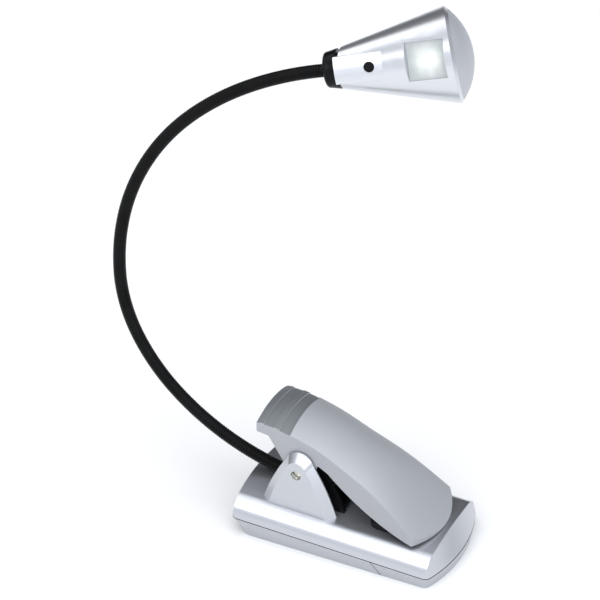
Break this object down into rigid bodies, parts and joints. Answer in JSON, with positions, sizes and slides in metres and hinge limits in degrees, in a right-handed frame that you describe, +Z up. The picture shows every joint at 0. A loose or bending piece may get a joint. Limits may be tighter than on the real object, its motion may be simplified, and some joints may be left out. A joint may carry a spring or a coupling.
{
  "type": "clip-on reading lamp",
  "caption": "Clip-on reading lamp: spring clip with a battery base, a black flexible neck and a cone-shaped LED head.",
  "frame": {"origin": "middle of the flat underside of the clip base", "axes": "+X from the thumb end of the clip to its jaw, +Z up, +Y to the clip's left as seen looking along +X"},
  "size_m": [0.1351, 0.0645, 0.1978],
  "materials": {
    "silver_plastic": "silver paint, semi-gloss",
    "lever_silver": "silver paint, satin",
    "black_plastic": "moulded, semi-gloss",
    "neck_sleeve": "finely ribbed vinyl sleeve",
    "black_rubber": "matt",
    "steel": "zinc plated",
    "nickel": "nickel plated",
    "brass_pin": "turned",
    "cell_wrap": "printed wrap, left plain",
    "wire_insulation": "PVC",
    "clear_lens": "clear",
    "reflector_silver": "bright coated",
    "board": "white solder mask",
    "led_glow": "lit white LED"
  },
  "bodies": {
    "base": {"top_housing": "silver_plastic", "nose_cover": "silver_plastic", "housing_screws": "steel", "battery_tray": "black_plastic", "battery_cells": "cell_wrap", "contact_plates": "nickel", "contact_springs": "nickel", "contact_spots": "nickel", "base_leads": "wire_insulation", "lower_jaw_pad": "black_rubber", "spring_bracket": "black_plastic", "pivot_pin": "brass_pin", "torsion_spring": "steel", "neck_ferrule": "black_plastic"},
    "lever": {"clip_lever": "lever_silver", "upper_jaw_pad": "black_rubber"},
    "door": {"battery_door": "silver_plastic"},
    "neck_1": {"neck_link_1": "neck_sleeve"},
    "neck_2": {"neck_link_2": "neck_sleeve"},
    "neck_3": {"neck_link_3": "neck_sleeve"},
    "neck_4": {"neck_link_4": "neck_sleeve"},
    "neck_5": {"neck_link_5": "neck_sleeve"},
    "neck_6": {"neck_link_6": "neck_sleeve"},
    "neck_7": {"neck_link_7": "neck_sleeve"},
    "neck_8": {"neck_link_8": "neck_sleeve"},
    "neck_9": {"neck_link_9": "neck_sleeve"},
    "head": {"head_stub": "neck_sleeve", "head_collar": "black_plastic", "head_shell": "silver_plastic", "head_end_cap": "silver_plastic", "window_lens": "clear_lens", "reflector": "reflector_silver", "led_board": "board", "led": "led_glow", "switch_body": "black_plastic", "head_leads": "wire_insulation"},
    "button": {"switch_button": "black_plastic"}
  },
  "joints": [
    {"name": "lever_hinge", "type": "hinge", "parent": "base", "child": "lever", "pos_m": [-0.0149, 0, 0.029], "axis": [0, -1, 0], "range_deg": [0, 28], "stiffness_Nm_per_rad": 0.25, "springref_deg": -45.84, "deforming": ["torsion_spring"]},
    {"name": "door_slide", "type": "slide", "parent": "base", "child": "door", "axis": [-1, 0, 0], "range_m": [0, 0.06]},
    {"name": "neck_bend_1", "type": "hinge", "parent": "base", "child": "neck_1", "pos_m": [-0.025, 0, 0.0165], "axis": [0, 1, 0], "range_deg": [-2, 8]},
    {"name": "neck_bend_2", "type": "hinge", "parent": "neck_1", "child": "neck_2", "pos_m": [-0.04896, 0, 0.02405], "axis": [0, 1, 0], "range_deg": [-17, 8]},
    {"name": "neck_sway_3", "type": "hinge", "parent": "neck_2", "child": "neck_3", "pos_m": [-0.06977, 0, 0.03809], "axis": [-0.6756, 0, -0.7373], "range_deg": [-16, 16]},
    {"name": "neck_bend_4", "type": "hinge", "parent": "neck_3", "child": "neck_4", "pos_m": [-0.08485, 0, 0.05811], "axis": [0, 1, 0], "range_deg": [-17, 8]},
    {"name": "neck_bend_5", "type": "hinge", "parent": "neck_4", "child": "neck_5", "pos_m": [-0.09101, 0, 0.08235], "axis": [-0.2164, 0.9763, 0], "range_deg": [-17, 8]},
    {"name": "neck_bend_6", "type": "hinge", "parent": "neck_5", "child": "neck_6", "pos_m": [-0.08855, 0.00055, 0.10734], "axis": [-0.2164, 0.9763, 0], "range_deg": [-17, 8]},
    {"name": "neck_bend_7", "type": "hinge", "parent": "neck_6", "child": "neck_7", "pos_m": [-0.07937, 0.00258, 0.13062], "axis": [-0.2164, 0.9763, 0], "range_deg": [-17, 8]},
    {"name": "neck_sway_8", "type": "hinge", "parent": "neck_7", "child": "neck_8", "pos_m": [-0.06378, 0.00604, 0.14999], "axis": [-0.6469, -0.1434, 0.749], "range_deg": [-16, 16]},
    {"name": "neck_bend_9", "type": "hinge", "parent": "neck_8", "child": "neck_9", "pos_m": [-0.04339, 0.01056, 0.16394], "axis": [-0.2164, 0.9763, 0], "range_deg": [-17, 8]},
    {"name": "head_tilt", "type": "hinge", "parent": "neck_9", "child": "head", "pos_m": [-0.02025, 0.01569, 0.17234], "axis": [-0.2164, 0.9763, 0], "range_deg": [-20, 14]},
    {"name": "button_press", "type": "slide", "parent": "head", "child": "button", "axis": [-0.1928, 0.9008, -0.3891], "range_m": [0, 0.0008], "stiffness_N_per_m": 1200, "springref_m": -0.0005}
  ]
}
